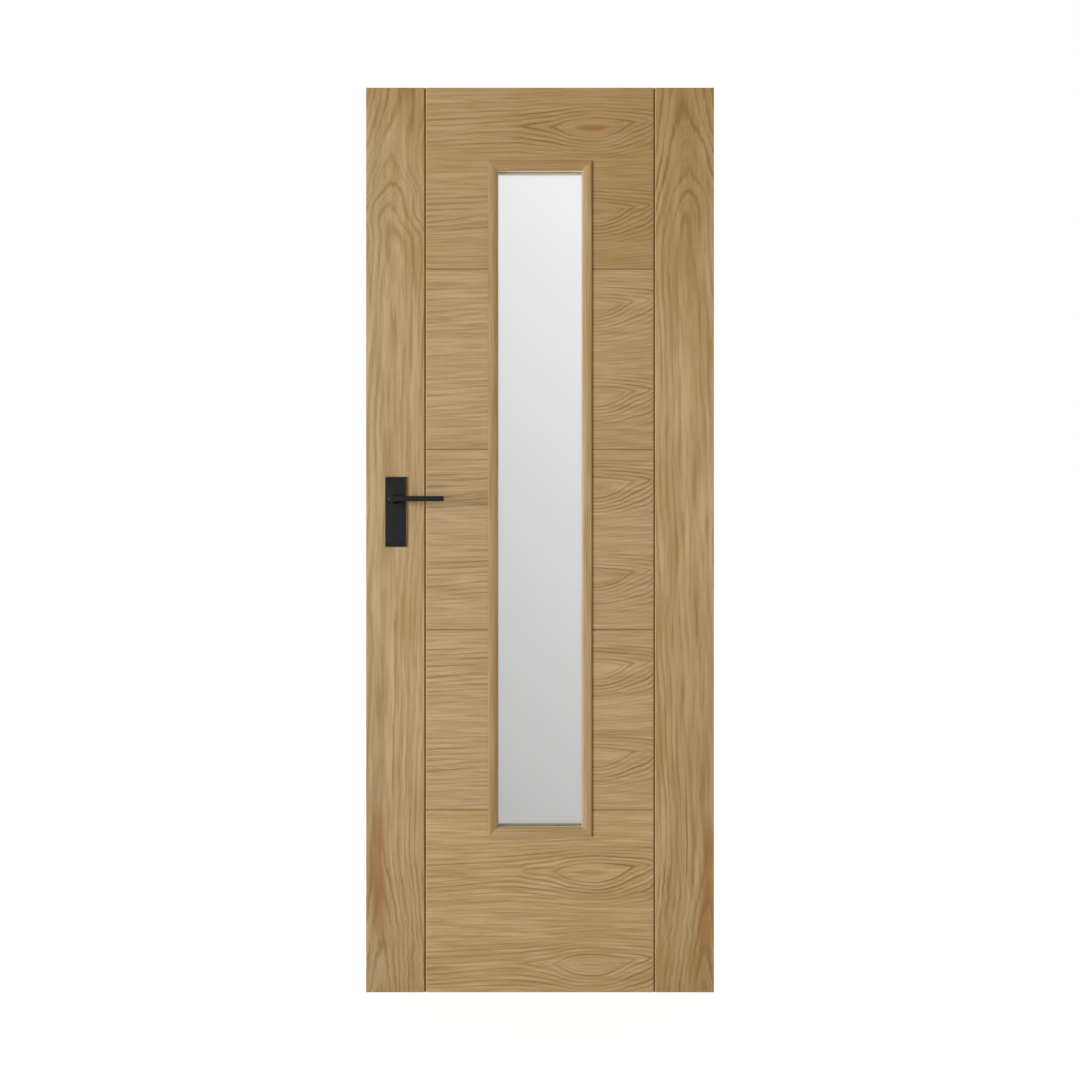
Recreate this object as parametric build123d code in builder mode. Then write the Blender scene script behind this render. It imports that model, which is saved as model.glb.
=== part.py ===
"""A glazed oak door leaf: two stiles, five rows of tongued boards, a narrow light and a lever on each face.

The frame has its origin at the foot of the hinge edge, in the middle of the leaf's thickness. +Z is up,
-X runs across the leaf to the lock edge, and -Y is the front face. All sizes are in millimetres.
"""

from build123d import *
import os

os.makedirs("parts", exist_ok=True)

# Leaf
leaf_width = 762
leaf_height = 1981
leaf_thickness = 35
arris_radius = 1

# Stiles, with a solid lipping on each long edge
stile_width = 130
lipping_thickness = 6

# Rows of boards, counted up from the foot
bottom_board_height = 399
middle_board_height = 395

# Joints: V grooves show on both faces, tongues are hidden
stile_vee = 3
board_vee = 2
side_tongue_thickness = 10
side_tongue_length = 10
top_tongue_thickness = 8
top_tongue_length = 8
tongue_end_clearance = 0.3

# Light and its beads
light_width = 226
light_sill = 341
light_head_margin = 160
bead_width = 20.5
bead_proud = 3
bead_arris = 0.6
bead_crest_end = 6
bead_lip_drop = 0.4
glass_thickness = 6
glass_edge_gap = 4
tape_thickness = 1.5
tape_width = 10
tape_setback = 0.3

# Lever and its plate
lever_backset = 65
lever_height = 1079
plate_width = 45
plate_height = 153
plate_thickness = 4
plate_bevel = 0.8
plate_drop = 27
plate_screw_inset_across = 9.5
plate_screw_inset_up = 8.5
plate_screw_radius = 2.2
plate_screw_head_radius = 4
neck_radius = 9.5
neck_clearance = 0.3
neck_start = 0.5
neck_taper = 14
lever_projection = 58
lever_reach = 110
hub_radius = 8
hub_shoulder = 0.4
hub_blend = 6
bar_height = 11
bar_depth = 13
bar_round = 2.5
spindle_size = 8
spindle_fit = 0.05
spindle_engagement = 24
spindle_hole_radius = 9

# Latch in the lock edge
forend_width = 25
forend_height = 57
forend_thickness = 3
forend_corner = 4
forend_screw_spacing = 44
forend_screw_radius = 2
forend_screw_head_radius = 3.8
forend_clearance = 0.2
latch_length = 86
latch_radius = 12
latch_clearance = 0.3
follower_hole_radius = 6.5
bolt_height = 17
bolt_thickness = 11
bolt_length = 24
bolt_clearance = 0.3
bolt_nose_round = 1.5

# Places worked out from the sizes
half_thickness = leaf_thickness / 2
hinge_edge = 0
lock_edge = hinge_edge - leaf_width
lock_joint = lock_edge + stile_width
hinge_joint = hinge_edge - stile_width
leaf_centre = (lock_edge + hinge_edge) / 2
light_left = leaf_centre - light_width / 2
light_right = leaf_centre + light_width / 2
light_head = leaf_height - light_head_margin
light_height = light_head - light_sill
light_middle = (light_sill + light_head) / 2
board_joints = [bottom_board_height + middle_board_height * row for row in range(4)]
bead_seat = glass_thickness / 2 + tape_thickness
lever_axis = lock_edge + lever_backset
lock_edge_plane = Plane(origin=(lock_edge, 0, lever_height), x_dir=(0, 1, 0), z_dir=(-1, 0, 0))
FRONT, BACK = -1, 1
LEFT, RIGHT = -1, 1


def save(node, piece):
    """Label a finished piece and write it to its own file."""
    piece.part.label = node
    export_step(piece.part, f"parts/{node}.step")


def stile_blank(joint, side):
    """A stile's body without its lipping: V-grooved and ploughed for the boards along the joint."""
    outer = joint + side * (stile_width - lipping_thickness)
    groove_depth = side_tongue_length + tongue_end_clearance
    with BuildPart() as blank:
        with BuildSketch(Plane.XY) as section:
            with Locations(((joint + outer) / 2, 0)):
                Rectangle(abs(outer - joint), leaf_thickness)
            joint_corners = section.vertices().group_by(Axis.X)[0 if side == RIGHT else -1]
            chamfer(joint_corners, stile_vee)
            with Locations((joint + side * groove_depth / 2, 0)):
                Rectangle(groove_depth, side_tongue_thickness, mode=Mode.SUBTRACT)
        extrude(amount=leaf_height)
    return blank


def lipping_blank(edge, side):
    """A solid strip glued along a long edge of the leaf, with its outer arrises eased."""
    with BuildPart() as blank:
        with BuildSketch(Plane.XY) as section:
            with Locations((edge - side * lipping_thickness / 2, 0)):
                Rectangle(lipping_thickness, leaf_thickness)
            outer_corners = section.vertices().group_by(Axis.X)[-1 if side == RIGHT else 0]
            fillet(outer_corners, arris_radius)
        extrude(amount=leaf_height)
    return blank


def board(left, right, foot, head, left_joined, right_joined):
    """A board of the infill, with V-grooved edges, a tongue into each stile it meets and one into the board above."""
    width = right - left
    middle = (left + right) / 2
    has_board_below = foot > 0
    has_board_above = head < leaf_height
    with BuildPart() as made:
        with BuildSketch(Plane.XZ):
            with Locations((middle, (foot + head) / 2)):
                Rectangle(width, head - foot)
        extrude(amount=half_thickness, both=True)
        upright_edges = made.edges().filter_by(Axis.Z).group_by(Axis.X)
        joined_edges = ShapeList()
        if left_joined:
            joined_edges += upright_edges[0]
        if right_joined:
            joined_edges += upright_edges[-1]
        chamfer(joined_edges, stile_vee)
        level_edges = made.edges().filter_by(Axis.X).group_by(Axis.Z)
        vee_edges = ShapeList()
        if has_board_below:
            vee_edges += level_edges[0]
        if has_board_above:
            vee_edges += level_edges[-1]
        chamfer(vee_edges, board_vee)
        tongue_places = []
        if left_joined:
            tongue_places.append((left - side_tongue_length / 2, 0))
        if right_joined:
            tongue_places.append((right + side_tongue_length / 2, 0))
        with BuildSketch(Plane.XY.offset(foot)):
            with Locations(*tongue_places):
                Rectangle(side_tongue_length, side_tongue_thickness)
        extrude(amount=head - foot)
        if has_board_above:
            with BuildSketch(Plane.XY.offset(head)):
                with Locations((middle, 0)):
                    Rectangle(width, top_tongue_thickness)
            extrude(amount=top_tongue_length)
        if has_board_below:
            with BuildSketch(Plane.XY.offset(foot)):
                with Locations((middle, 0)):
                    Rectangle(width, top_tongue_thickness)
            extrude(amount=top_tongue_length + tongue_end_clearance, mode=Mode.SUBTRACT)
        with BuildSketch(Plane.XZ):
            with Locations((leaf_centre, light_middle)):
                Rectangle(light_width, light_height)
        extrude(amount=leaf_thickness, both=True, mode=Mode.SUBTRACT)
    return made


def bead_section(wall, inward, outward):
    """The closed moulding of a bead, drawn from its wall at the middle of the leaf's thickness."""

    def place(distance_in, distance_out):
        return wall + inward * distance_in + outward * distance_out

    wall_top = place(0, half_thickness + bead_proud - bead_arris)
    crest_start = place(bead_arris, half_thickness + bead_proud)
    crest_end = place(bead_crest_end, half_thickness + bead_proud)
    lip = place(bead_width, half_thickness - bead_lip_drop)
    TangentArc(crest_start, wall_top, tangent=-inward)
    Line(crest_start, crest_end)
    TangentArc(crest_end, lip, tangent=inward)
    Line(lip, place(bead_width, bead_seat))
    Line(place(bead_width, bead_seat), place(0, bead_seat))
    Line(place(0, bead_seat), wall_top)


def upright_bead(side, face):
    """A glazing bead beside the glass, mitred at both ends."""
    wall = light_left if side == LEFT else light_right
    with BuildPart() as made:
        with BuildSketch(Plane.XY.offset(light_sill)):
            with BuildLine():
                bead_section(Vector(wall, 0), Vector(-side, 0), Vector(0, face))
            make_face()
        extrude(amount=light_height)
        split(bisect_by=Plane(origin=(wall, 0, light_sill), z_dir=(side, 0, 1)), keep=Keep.TOP)
        split(bisect_by=Plane(origin=(wall, 0, light_head), z_dir=(side, 0, -1)), keep=Keep.TOP)
    return made


def level_bead(above, face):
    """A glazing bead over or under the glass, mitred at both ends."""
    wall = light_head if above else light_sill
    inward = -1 if above else 1
    with BuildPart() as made:
        with BuildSketch(Plane.YZ.offset(light_left)):
            with BuildLine():
                bead_section(Vector(0, wall), Vector(0, inward), Vector(face, 0))
            make_face()
        extrude(amount=light_width)
        split(bisect_by=Plane(origin=(light_left, 0, wall), z_dir=(1, 0, -inward)), keep=Keep.TOP)
        split(bisect_by=Plane(origin=(light_right, 0, wall), z_dir=(-1, 0, -inward)), keep=Keep.TOP)
    return made


def glazing_tape(face):
    """A flat ring of tape between the glass and the beads on one face."""
    outer_inset = bead_width - tape_setback - tape_width
    inner_inset = bead_width - tape_setback
    with BuildPart() as made:
        with BuildSketch(Plane.XZ.offset(-face * glass_thickness / 2)):
            with Locations((leaf_centre, light_middle)):
                Rectangle(light_width - 2 * outer_inset, light_height - 2 * outer_inset)
                Rectangle(light_width - 2 * inner_inset, light_height - 2 * inner_inset, mode=Mode.SUBTRACT)
        extrude(amount=-face * tape_thickness)
    return made


def face_plane(face, height):
    """The sketch plane on a face of the leaf over the lever's axis, with its normal pointing out of the face."""
    return Plane(origin=(lever_axis, face * half_thickness, height), x_dir=(1, 0, 0), z_dir=(0, face, 0))


def back_plate(face):
    """The lever's plate: bevelled, with the neck's bearing hole and four countersunk screw holes."""
    plate_centre = lever_height - plate_drop
    seat = face_plane(face, plate_centre)
    front_of_plate = seat.offset(plate_thickness)
    neck_front = face_plane(face, lever_height).offset(plate_thickness)
    with BuildPart() as made:
        with BuildSketch(seat):
            Rectangle(plate_width, plate_height)
        extrude(amount=plate_thickness)
        chamfer(made.faces().sort_by(Axis.Y)[0 if face == FRONT else -1].edges(), plate_bevel)
        with Locations(neck_front):
            Hole(radius=neck_radius + neck_clearance, depth=plate_thickness)
        across = plate_width - 2 * plate_screw_inset_across
        up = plate_height - 2 * plate_screw_inset_up
        with Locations(front_of_plate):
            with GridLocations(across, up, 2, 2):
                CounterSinkHole(
                    radius=plate_screw_radius,
                    counter_sink_radius=plate_screw_head_radius,
                    depth=plate_thickness,
                )
    return made


def lever(face):
    """A straight lever: a round neck tapered to a small shoulder under the hub, a slim flat bar and a socket."""
    axis_plane = face_plane(face, lever_height)
    bar_back = lever_projection - bar_depth
    taper_start = bar_back - neck_taper
    with BuildPart() as made:
        with BuildSketch(axis_plane.offset(neck_start)):
            Circle(neck_radius)
        extrude(amount=taper_start - neck_start)
        with BuildSketch(axis_plane.offset(taper_start)):
            Circle(neck_radius)
        with BuildSketch(axis_plane.offset(bar_back)):
            Circle(hub_radius - hub_shoulder)
        loft()
        with BuildSketch(axis_plane.offset(bar_back)) as outline:
            Circle(hub_radius)
            with Locations((lever_reach / 2, 0)):
                Rectangle(lever_reach, bar_height)
            fillet(outline.vertices().group_by(Axis.X)[0], hub_blend)
        extrude(amount=bar_depth)
        outer_face = made.faces().sort_by(Axis.Y)[0 if face == FRONT else -1]
        tip_edges = made.edges().filter_by(Axis.Y).group_by(Axis.X)[-1]
        fillet(outer_face.edges() + tip_edges, bar_round)
        with BuildSketch(axis_plane.offset(neck_start)):
            Rectangle(spindle_size + 2 * spindle_fit, spindle_size + 2 * spindle_fit)
        extrude(amount=spindle_engagement - neck_start, mode=Mode.SUBTRACT)
    return made


# Lock stile, bored for the latch and the spindle
lock_stile = stile_blank(lock_joint, LEFT)
with BuildPart() as bored_stile:
    add(lock_stile.part)
    with Locations(lock_edge_plane):
        Hole(radius=latch_radius + latch_clearance, depth=latch_length + latch_clearance)
    with Locations(face_plane(FRONT, lever_height)):
        Hole(radius=spindle_hole_radius, depth=leaf_thickness)
save("lock_stile", bored_stile)

# Hinge stile
save("hinge_stile", stile_blank(hinge_joint, RIGHT))

# Lippings: the lock one is let in for the forend
with BuildPart() as lock_lipping:
    add(lipping_blank(lock_edge, LEFT).part)
    with BuildSketch(lock_edge_plane):
        RectangleRounded(
            forend_width + 2 * forend_clearance,
            forend_height + 2 * forend_clearance,
            forend_corner + forend_clearance,
        )
    extrude(amount=-forend_thickness, mode=Mode.SUBTRACT)
    with Locations(lock_edge_plane):
        Hole(radius=latch_radius + latch_clearance, depth=lipping_thickness)
save("lock_edge_lipping", lock_lipping)
save("hinge_edge_lipping", lipping_blank(hinge_edge, RIGHT))

# Boards: one across the foot, one across the head, and three rows either side of the light
save("bottom_board", board(lock_joint, hinge_joint, 0, board_joints[0], True, True))
save("top_board", board(lock_joint, hinge_joint, board_joints[3], leaf_height, True, True))
for row, row_name in enumerate(["lower", "middle", "upper"]):
    foot, head = board_joints[row], board_joints[row + 1]
    save(f"{row_name}_left_board", board(lock_joint, light_left, foot, head, True, False))
    save(f"{row_name}_right_board", board(light_right, hinge_joint, foot, head, False, True))

# Beads and tape on both faces
for face, face_name in [(FRONT, "front"), (BACK, "back")]:
    save(f"{face_name}_left_bead", upright_bead(LEFT, face))
    save(f"{face_name}_right_bead", upright_bead(RIGHT, face))
    save(f"{face_name}_top_bead", level_bead(True, face))
    save(f"{face_name}_bottom_bead", level_bead(False, face))
    save(f"{face_name}_glazing_tape", glazing_tape(face))

# Glass
with BuildPart() as glass:
    with BuildSketch(Plane.XZ):
        with Locations((leaf_centre, light_middle)):
            Rectangle(light_width - 2 * glass_edge_gap, light_height - 2 * glass_edge_gap)
    extrude(amount=glass_thickness / 2, both=True)
save("glass_pane", glass)

# Plates, levers and the spindle that joins the levers
save("front_plate", back_plate(FRONT))
save("back_plate", back_plate(BACK))
save("front_lever", lever(FRONT))
save("back_lever", lever(BACK))
with BuildPart() as spindle:
    with BuildSketch(Plane.XZ):
        with Locations((lever_axis, lever_height)):
            Rectangle(spindle_size, spindle_size)
    extrude(amount=half_thickness + spindle_engagement, both=True)
save("spindle", spindle)

# Latch: its bolt lies flush in the forend
with BuildPart() as forend:
    with BuildSketch(lock_edge_plane.offset(-forend_thickness)):
        RectangleRounded(forend_width, forend_height, forend_corner)
        Rectangle(
            bolt_thickness + 2 * bolt_clearance,
            bolt_height + 2 * bolt_clearance,
            mode=Mode.SUBTRACT,
        )
    extrude(amount=forend_thickness)
    with Locations(lock_edge_plane):
        with GridLocations(0, forend_screw_spacing, 1, 2):
            CounterSinkHole(
                radius=forend_screw_radius,
                counter_sink_radius=forend_screw_head_radius,
                depth=forend_thickness,
            )
save("latch_forend", forend)

with BuildPart() as latch_case:
    with BuildSketch(lock_edge_plane.offset(-latch_length)):
        Circle(latch_radius)
    extrude(amount=latch_length - forend_thickness)
    with BuildSketch(lock_edge_plane.offset(-forend_thickness)):
        Rectangle(bolt_thickness + 2 * bolt_clearance, bolt_height + 2 * bolt_clearance)
    extrude(amount=forend_thickness - bolt_length - bolt_clearance, mode=Mode.SUBTRACT)
    with Locations(face_plane(FRONT, lever_height)):
        Hole(radius=follower_hole_radius, depth=leaf_thickness)
save("latch_case", latch_case)

with BuildPart() as bolt:
    with BuildSketch(lock_edge_plane.offset(-bolt_length)):
        Rectangle(bolt_thickness, bolt_height)
    extrude(amount=bolt_length)
    fillet(bolt.edges().group_by(Axis.X)[0].filter_by(Axis.Z), bolt_nose_round)
save("latch_bolt", bolt)
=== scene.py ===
"""Finishes a glazed oak door around its packed model: grain, beads, obscured glass, levers and studio."""

import math
from typing import NamedTuple
import bmesh
import bpy
from bpy.props import FloatProperty, FloatVectorProperty, PointerProperty
from mathutils import Matrix, Vector


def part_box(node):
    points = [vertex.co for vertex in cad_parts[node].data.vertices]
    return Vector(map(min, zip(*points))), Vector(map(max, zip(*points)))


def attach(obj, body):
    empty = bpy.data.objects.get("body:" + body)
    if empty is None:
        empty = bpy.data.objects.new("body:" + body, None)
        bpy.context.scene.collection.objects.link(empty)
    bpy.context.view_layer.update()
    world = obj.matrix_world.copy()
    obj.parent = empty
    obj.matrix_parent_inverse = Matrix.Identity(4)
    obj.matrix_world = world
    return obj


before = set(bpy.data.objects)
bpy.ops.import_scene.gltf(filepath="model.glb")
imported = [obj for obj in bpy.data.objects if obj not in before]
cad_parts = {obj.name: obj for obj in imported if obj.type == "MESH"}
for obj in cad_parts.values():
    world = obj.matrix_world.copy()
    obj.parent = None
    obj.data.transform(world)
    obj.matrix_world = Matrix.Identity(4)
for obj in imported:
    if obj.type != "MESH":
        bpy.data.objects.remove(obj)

bl_info = {
    "name": "Glazed Oak Door",
    "version": (1, 0, 0),
    "blender": (4, 5, 0),
    "location": "View3D > Sidebar > Door",
    "description": "Finishes a glazed oak door leaf and sets its studio",
    "category": "Object",
}

FACES = {"front": -1, "back": 1}
BOARD_ROWS = {
    "foot": ("bottom_board",),
    "lower": ("lower_left_board", "lower_right_board"),
    "middle": ("middle_left_board", "middle_right_board"),
    "upper": ("upper_left_board", "upper_right_board"),
    "head": ("top_board",),
}

# Places read from the packed model, in metres
LOCK_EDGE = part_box("lock_edge_lipping")[0].x
HINGE_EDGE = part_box("hinge_edge_lipping")[1].x
HALF_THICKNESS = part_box("lock_stile")[1].y
LEAF_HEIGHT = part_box("lock_stile")[1].z
LEAF_CENTRE = (LOCK_EDGE + HINGE_EDGE) / 2
INFILL_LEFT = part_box("lock_stile")[1].x
INFILL_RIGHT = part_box("hinge_stile")[0].x
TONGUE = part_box("lower_left_board")[1].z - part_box("middle_left_board")[0].z
GLASS_FOOT, GLASS_HEAD = (corner.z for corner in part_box("glass_pane"))
BEADS_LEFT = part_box("front_left_bead")[0].x
BEADS_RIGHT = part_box("front_right_bead")[1].x
BEADS_FOOT, BEADS_HEAD = (corner.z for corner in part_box("front_left_bead"))
NECK_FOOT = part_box("front_lever")[0].z

# A V groove's seam is a dark joint line with painted shade, and its walls carry painted shade
# From the foot of a V groove: where its seam starts to fade and ends, and where its walls' painted shade ends
SEAM_CORE, SEAM_REACH, PAINTED_SHADE_REACH = 0.0001, 0.0009, 0.0034
# Against the upright grooves: how plain the level ones are, and the painted shadow along the left beads
LEVEL_SEAM, BEAD_SHADE = 0.4, 0.3
# A row that ends this near the leaf's own end has no groove there
LEAF_END = 0.001
# From the face of the leaf into a bead: where the painted light on its pale inner wall begins and is plain
PAINTED_LIGHT_DEPTHS = (0.0015, 0.0060)
# How squarely a face cuts the grain where its end grain begins to show, and shows in full
END_GRAIN_FACING = (0.85, 0.98)

# The figure of each stile, up the leaf: height, then the heart's distance in from the edge and its depth,
# how brown the wood is, how much heart colour shows, how far the grain wanders and how plain its lines are
LOCK_CROWN = (
    (0.000, 0.030, 0.038, 0.26, 0.1, 2.2, 0.80), (0.100, 0.029, 0.0465, 0.22, 0.2, 2.2, 0.85),
    (0.190, 0.028, 0.0540, 0.18, 0.8, 1.7, 0.90), (0.315, 0.024, 0.0630, 0.14, 0.8, 1.4, 0.80),
    (0.420, 0.028, 0.0652, 0.04, 0.1, 1.2, 0.68), (0.600, 0.034, 0.0655, 0.02, 0.0, 1.0, 0.52),
    (1.000, 0.045, 0.0660, 0.00, 0.0, 0.9, 0.48), (1.500, 0.060, 0.0675, 0.04, 0.0, 1.0, 0.52),
    (1.645, 0.073, 0.0720, 0.16, 0.1, 1.2, 0.66), (1.713, 0.057, 0.0810, 0.20, 0.1, 1.2, 0.72),
    (1.759, 0.066, 0.0900, 0.18, 0.1, 1.2, 0.74), (1.800, 0.060, 0.0990, 0.18, 0.0, 1.2, 0.70),
    (1.943, 0.086, 0.1080, 0.34, 0.3, 1.2, 0.82), (1.981, 0.090, 0.1100, 0.38, 0.1, 1.2, 0.82),
)
HINGE_CROWN = (
    (0.000, 0.024, 0.038, 0.26, 0.3, 2.2, 0.75), (0.080, 0.021, 0.0460, 0.20, 0.4, 2.2, 0.85),
    (0.158, 0.019, 0.0540, 0.14, 0.8, 1.7, 0.85), (0.298, 0.012, 0.0630, 0.10, 0.8, 1.4, 0.80),
    (0.420, 0.018, 0.0652, 0.08, 0.1, 1.2, 0.72), (0.600, 0.026, 0.0655, 0.08, 0.0, 1.1, 0.60),
    (1.000, 0.045, 0.0660, 0.04, 0.0, 0.9, 0.52), (1.480, 0.055, 0.0675, 0.10, 0.0, 1.0, 0.54),
    (1.634, 0.060, 0.0720, 0.20, 0.2, 1.2, 0.76), (1.745, 0.050, 0.0810, 0.28, 0.1, 1.2, 0.92),
    (1.783, 0.052, 0.0900, 0.32, 0.2, 1.2, 0.96), (1.848, 0.056, 0.0990, 0.36, 0.1, 1.2, 0.88),
    (1.903, 0.065, 0.1080, 0.44, 0.3, 1.2, 1.00), (1.981, 0.070, 0.1140, 0.48, 0.1, 1.2, 0.92),
)
# From a stile's crown: where the heart's colour starts to fade and ends
CROWN_TINT_REACH = (0.004, 0.022)


class Stile(NamedTuple):
    """A stile and its lipping: where its outer edge and its joint stand, and the figure of its oak."""

    nodes: tuple
    edge: float
    joint: float
    crown: tuple
    seed: float
    golden: float


STILES = {
    "lock": Stile(("lock_stile", "lock_edge_lipping"), LOCK_EDGE, INFILL_LEFT, LOCK_CROWN, 2.0, 0.2),
    "hinge": Stile(("hinge_stile", "hinge_edge_lipping"), HINGE_EDGE, INFILL_RIGHT, HINGE_CROWN, 9.0, 0.5),
}

# The figure of a veneer leaf across the boards: share of the width, rise of the heart, depth of the heart
BOARD_CROWN = (
    (0.00, -0.009, 0.0482), (0.09, -0.006, 0.0492), (0.27, 0.001, 0.0510), (0.40, 0.004, 0.0500),
    (0.455, 0.004, 0.0462), (0.563, 0.003, 0.0378), (0.64, 0.001, 0.0235), (0.74, 0.000, 0.0165),
    (0.82, 0.004, 0.0240), (0.905, 0.013, 0.0378), (0.970, 0.017, 0.0462), (1.00, 0.020, 0.0530),
)
# Limits that hold every rise of the heart
BOARD_RISE_LOW, BOARD_RISE_HIGH = -0.010, 0.025
# Where across the boards the ring lines grow plain, and how faint they are before it
LINES_GROW, LINES_FAINT = (0.22, 0.48), 0.68
# How much of a row's brown shows at its left and at its right
BROWN_ACROSS = (0.55, 1.15)


class RowFigure(NamedTuple):
    """The figure of a row of boards. The eyes and joint of its veneer leaves lie below the row's top."""

    upper_eye: float
    lower_eye: float
    leaf_joint: float
    brown: float
    heart: float
    golden: float


# The gold rising towards the foot row is painted warm light bounced up from the floor
ROW_FIGURES = {
    "head": RowFigure(0.088, 0.273, 0.215, 0.42, 1.0, 0.0),
    "upper": RowFigure(0.085, 0.280, 0.228, 0.12, 0.1, 0.1),
    "middle": RowFigure(0.085, 0.280, 0.228, 0.06, 0.1, 0.1),
    "lower": RowFigure(0.085, 0.280, 0.228, 0.03, 0.1, 0.3),
    "foot": RowFigure(0.137, 0.340, 0.240, 0.0, 0.4, 1.0),
}
# Round the heart: where the ring lines begin, and where an eye's colour starts to fade and ends
HEART_CLEAR_RADIUS = 0.032
EYE_RADII = (0.0182, 0.0250)
# How much of a row's heart colour its lower eye shows
LOWER_EYE = 0.15
# How much red, green and blue wood gains where it is golden
GOLDEN = (0.07, 0.025, -0.04)

# Whether each bead stands upright, and how brown it is; the top bead's extra brown is painted shade
BEAD_TONES = {"left": (True, 0.22), "right": (True, 0.24), "top": (False, 0.56), "bottom": (False, 0.20)}
# The heart of the beads' timber lies far to one side and deep, so their grain runs straight
BEAD_HEART_ASIDE, BEAD_HEART_DEPTH = -1.5, 0.2

# Where the noise is read for each row, veneer leaf and bead, so that no two show the same figure
BOARD_SEED, ROW_SEED_STEP, LEAF_SEED_STEP = 20.0, 6.1, 2.7
BEAD_SEED, TONE_SEED_STEP = 50.0, 10

# Rates of the timber's noises in their two directions, per metre
SLOW_BEND_RATES, QUICK_BEND_RATES, RIPPLE_RATES = (7.0, 2.6), (30.0, 11.0), (22.0, 30.0)
HEART_ROLL_RATES, FEATHER_RATES = (5.0, 9.0), (190.0, 8.0)
PORE_RATES, BAND_RATES = (1500.0, 55.0), (55.0, 2.2)
# How far the bends, the ripple and the roll move the grain, in metres
SLOW_BEND, QUICK_BEND, RIPPLE, HEART_ROLL = 0.026, 0.007, 0.009, 0.004
# The heart is never nearer the face than this
LEAST_DEPTH = 0.001
# What each noise adds to its timber's seed
ROLL_SEED, UNEVEN_SEED, FEATHER_SEED, LINE_SEED = 7.3, 3.1, 2.3, 11.7
BETWEEN_SEED, BAND_SEED, MOTTLE_SEED = 1.9, 5.9, 8.8
# How much of a ring line's dark lies in its core, and where in its width the core starts to fade
LINE_CORE, CORE_FADE = 0.62, 0.7
# Nearness to an eye where the ring lines start to grow plain, and where they are
NEAR_LINES = (0.30, 0.72)

LACQUER_SPECULAR, COAT_SPECULAR = 0.2, 0.22
COAT_GRAIN, COAT_WAVES = 2200.0, 60.0
PANE_IOR = 1.5
# How much of its painted light, its whole paling, the pane shows from left to right, per metre
GLASS_LIGHT_LEAN = 0.6
TAPE_SHADES = ((0.80, 0.75, 0.63, 1.0), (0.95, 0.91, 0.80, 1.0))
WHITE = (1.0, 1.0, 1.0, 1.0)

# Where the screws' holes are in the solids: in from a plate's side and end, and how far apart in the forend
PLATE_SCREW_INSET, PLATE_SCREW_INSET_UP, FOREND_SCREW_SPACING = 0.0095, 0.0085, 0.044
# From the leaf's face to a grub screw
GRUB_STANDOFF = 0.012
# Length of each screw and depth of its cross recess
PLATE_SCREW, FOREND_SCREW = (0.0038, 0.0013), (0.0028, 0.0012)
GRUB_LENGTH = 0.002
# How deep a screw's head lies, and how far a grub screw stands out of its neck
SCREW_SUNK, GRUB_PROUD = 0.00015, 0.00006
# How far each screw is turned past the one before it, and how far a grub screw is turned
PLATE_SCREW_TURN, FOREND_SCREW_TURN, GRUB_TURN = 0.35, 0.4, 0.2

# Width of the camera's sensor, in millimetres
IMAGE_SENSOR = 36.0
# The strip lamp stands just above the ground and the floor lies just below it
KEY_WIDTH, KEY_HEIGHT, KEY_DISTANCE, KEY_LIFT = 0.9, 2.6, 9.0, 0.02
FLOOR_SIZE, FLOOR_DROP = 40.0, 0.0005
FLOOR_GREY = (0.8, 0.8, 0.8, 1.0)
# How much of the floor's own shading the camera sees, and how strong the white is that it sees there
FLOOR_SHADE, FLOOR_WHITE = 0.20, 1.15
# How far towards the back a direction looks where the white behind the leaf begins and is full
BACKDROP_EDGE = (-0.05, 0.35)


class DoorOakSettings(bpy.types.PropertyGroup):
    """Colours and figure of the oak."""

    pale: FloatVectorProperty(
        name="Pale wood", description="Lightest streaks", subtype="COLOR", default=(0.470, 0.346, 0.194),
    )
    mid: FloatVectorProperty(
        name="Mid wood", description="The wood's usual colour", subtype="COLOR",
        default=(0.350, 0.234, 0.104),
    )
    dark: FloatVectorProperty(
        name="Ring line", description="Open wood at the start of a ring", subtype="COLOR",
        default=(0.195, 0.105, 0.028),
    )
    warm: FloatVectorProperty(
        name="Brown wood", description="Browner bands", subtype="COLOR", default=(0.285, 0.155, 0.043),
    )
    heart: FloatVectorProperty(
        name="Heart", description="Orange tint where the heart comes near the face", subtype="COLOR",
        default=(0.268, 0.124, 0.034),
    )
    # Seam colour: a dark joint line at a groove's foot, with painted shade
    seam: FloatVectorProperty(
        name="Seam", description="The dark foot of a V groove", subtype="COLOR",
        default=(0.080, 0.036, 0.008),
    )
    # Painted light: this pale colour brightens a bead's inner wall in the dark glass recess
    painted_light_wall: FloatVectorProperty(
        name="Inner wall", description="The pale sealed wall of a bead beside the glass", subtype="COLOR",
        default=(0.80, 0.70, 0.46),
    )
    stile_ring: FloatProperty(
        name="Stile ring width", description="Ring spacing in the stiles", unit="LENGTH", default=0.009,
    )
    board_ring: FloatProperty(
        name="Board ring width", description="Ring spacing at the heart of a board", unit="LENGTH",
        default=0.0115,
    )
    bead_ring: FloatProperty(
        name="Bead ring width", description="Ring spacing in the beads", unit="LENGTH", default=0.006,
    )


class DoorIronSettings(bpy.types.PropertyGroup):
    """Black coated iron of the plates, the levers and their screws."""

    colour: FloatVectorProperty(
        name="Coat", description="Colour of the black coat", subtype="COLOR",
        default=(0.0055, 0.0055, 0.0055),
    )
    roughness: FloatProperty(
        name="Roughness", description="Roughness of the coat", min=0, max=1, default=0.38,
    )
    screw_radius: FloatProperty(
        name="Screw head radius", description="Radius of a plate screw's head", unit="LENGTH", default=0.0038,
    )
    grub_radius: FloatProperty(
        name="Grub screw radius", description="Radius of the screw under a lever's neck", unit="LENGTH",
        default=0.0022,
    )


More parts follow.
